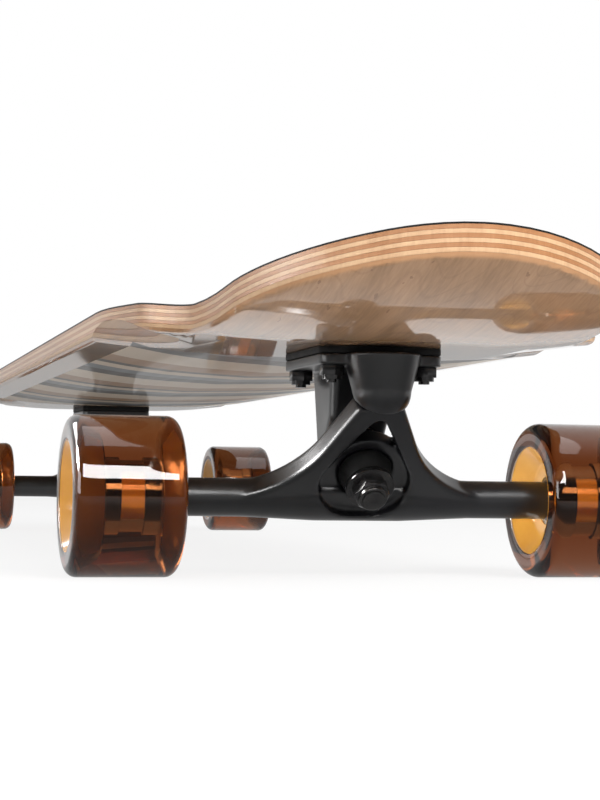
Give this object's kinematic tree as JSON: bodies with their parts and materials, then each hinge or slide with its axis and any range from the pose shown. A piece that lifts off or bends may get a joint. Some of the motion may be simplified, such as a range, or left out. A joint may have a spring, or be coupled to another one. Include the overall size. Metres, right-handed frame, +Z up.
{
  "type": "longboard skateboard",
  "caption": "Longboard with a pressed laminated deck, reverse-kingpin trucks that steer as it leans, and soft translucent wheels on ball bearings.",
  "frame": {"origin": "on the ground under the middle of the board", "axes": "+X towards the nose, +Y to the left side, +Z up"},
  "size_m": [1.078, 0.259, 0.1374],
  "materials": {
    "face_veneer": "gloss",
    "pale_veneer": "satin",
    "tan_veneer": "satin",
    "grip_tape": "rough",
    "black_coat": "satin",
    "black_hardware": "satin",
    "black_rubber": "matte",
    "black_plastic": "matte",
    "axle_steel": "satin",
    "bearing_steel": "polished",
    "black_shield": "satin",
    "amber_urethane": "gloss",
    "mustard_core": "gloss"
  },
  "bodies": {
    "deck": {"deck_ply_1": "face_veneer", "deck_ply_2": "pale_veneer", "deck_ply_3": "tan_veneer", "deck_ply_4": "pale_veneer", "deck_ply_5": "tan_veneer", "deck_ply_6": "pale_veneer", "deck_ply_7": "tan_veneer", "grip_tape": "grip_tape", "deck_bolts": "black_hardware", "deck_lock_nuts": "black_hardware", "front_riser_pad": "black_rubber", "front_baseplate": "black_coat", "front_pivot_cup": "black_plastic", "front_kingpin": "black_hardware", "front_kingpin_nut": "black_hardware", "front_kingpin_washers": "black_hardware", "front_boardside_bushing": "black_rubber", "front_roadside_bushing": "black_rubber", "rear_riser_pad": "black_rubber", "rear_baseplate": "black_coat", "rear_pivot_cup": "black_plastic", "rear_kingpin": "black_hardware", "rear_kingpin_nut": "black_hardware", "rear_kingpin_washers": "black_hardware", "rear_boardside_bushing": "black_rubber", "rear_roadside_bushing": "black_rubber"},
    "front_hanger_body": {"front_hanger": "black_coat", "front_axle": "axle_steel", "front_axle_nuts": "axle_steel", "front_speed_washers": "axle_steel", "front_bearing_inner_rings": "bearing_steel", "front_bearing_spacers": "axle_steel"},
    "rear_hanger_body": {"rear_hanger": "black_coat", "rear_axle": "axle_steel", "rear_axle_nuts": "axle_steel", "rear_speed_washers": "axle_steel", "rear_bearing_inner_rings": "bearing_steel", "rear_bearing_spacers": "axle_steel"},
    "front_left_wheel": {"front_left_tyre": "amber_urethane", "front_left_core": "mustard_core", "front_left_bearing_outer_rings": "bearing_steel", "front_left_bearing_shields": "black_shield"},
    "front_left_ball_set": {"front_left_bearing_balls": "bearing_steel"},
    "front_right_wheel": {"front_right_tyre": "amber_urethane", "front_right_core": "mustard_core", "front_right_bearing_outer_rings": "bearing_steel", "front_right_bearing_shields": "black_shield"},
    "front_right_ball_set": {"front_right_bearing_balls": "bearing_steel"},
    "rear_left_wheel": {"rear_left_tyre": "amber_urethane", "rear_left_core": "mustard_core", "rear_left_bearing_outer_rings": "bearing_steel", "rear_left_bearing_shields": "black_shield"},
    "rear_left_ball_set": {"rear_left_bearing_balls": "bearing_steel"},
    "rear_right_wheel": {"rear_right_tyre": "amber_urethane", "rear_right_core": "mustard_core", "rear_right_bearing_outer_rings": "bearing_steel", "rear_right_bearing_shields": "black_shield"},
    "rear_right_ball_set": {"rear_right_bearing_balls": "bearing_steel"}
  },
  "joints": [
    {"name": "front_steer", "type": "hinge", "parent": "deck", "child": "front_hanger_body", "pos_m": [0.372, 0, 0.035], "axis": [0.6428, 0, 0.766], "range_deg": [-20, 20], "stiffness_Nm_per_rad": 60, "deforming": ["front_boardside_bushing", "front_roadside_bushing"]},
    {"name": "rear_steer", "type": "hinge", "parent": "deck", "child": "rear_hanger_body", "pos_m": [-0.372, 0, 0.035], "axis": [-0.6428, 0, 0.766], "range_deg": [-20, 20], "stiffness_Nm_per_rad": 60, "deforming": ["rear_boardside_bushing", "rear_roadside_bushing"]},
    {"name": "front_left_wheel_spin", "type": "hinge", "parent": "front_hanger_body", "child": "front_left_wheel", "pos_m": [0.372, 0.1029, 0.035], "axis": [0, 1, 0], "continuous": true},
    {"name": "front_left_ball_orbit", "type": "hinge", "parent": "front_hanger_body", "child": "front_left_ball_set", "pos_m": [0.372, 0.1029, 0.035], "axis": [0, 1, 0], "continuous": true},
    {"name": "front_right_wheel_spin", "type": "hinge", "parent": "front_hanger_body", "child": "front_right_wheel", "pos_m": [0.372, -0.1029, 0.035], "axis": [0, 1, 0], "continuous": true},
    {"name": "front_right_ball_orbit", "type": "hinge", "parent": "front_hanger_body", "child": "front_right_ball_set", "pos_m": [0.372, -0.1029, 0.035], "axis": [0, 1, 0], "continuous": true},
    {"name": "rear_left_wheel_spin", "type": "hinge", "parent": "rear_hanger_body", "child": "rear_left_wheel", "pos_m": [-0.372, 0.1029, 0.035], "axis": [0, 1, 0], "continuous": true},
    {"name": "rear_left_ball_orbit", "type": "hinge", "parent": "rear_hanger_body", "child": "rear_left_ball_set", "pos_m": [-0.372, 0.1029, 0.035], "axis": [0, 1, 0], "continuous": true},
    {"name": "rear_right_wheel_spin", "type": "hinge", "parent": "rear_hanger_body", "child": "rear_right_wheel", "pos_m": [-0.372, -0.1029, 0.035], "axis": [0, 1, 0], "continuous": true},
    {"name": "rear_right_ball_orbit", "type": "hinge", "parent": "rear_hanger_body", "child": "rear_right_ball_set", "pos_m": [-0.372, -0.1029, 0.035], "axis": [0, 1, 0], "continuous": true}
  ],
  "couplings": [
    {"joint": "front_left_ball_orbit", "follows": "front_left_wheel_spin", "ratio": 0.632},
    {"joint": "front_right_ball_orbit", "follows": "front_right_wheel_spin", "ratio": 0.632},
    {"joint": "rear_left_ball_orbit", "follows": "rear_left_wheel_spin", "ratio": 0.632},
    {"joint": "rear_right_ball_orbit", "follows": "rear_right_wheel_spin", "ratio": 0.632}
  ]
}
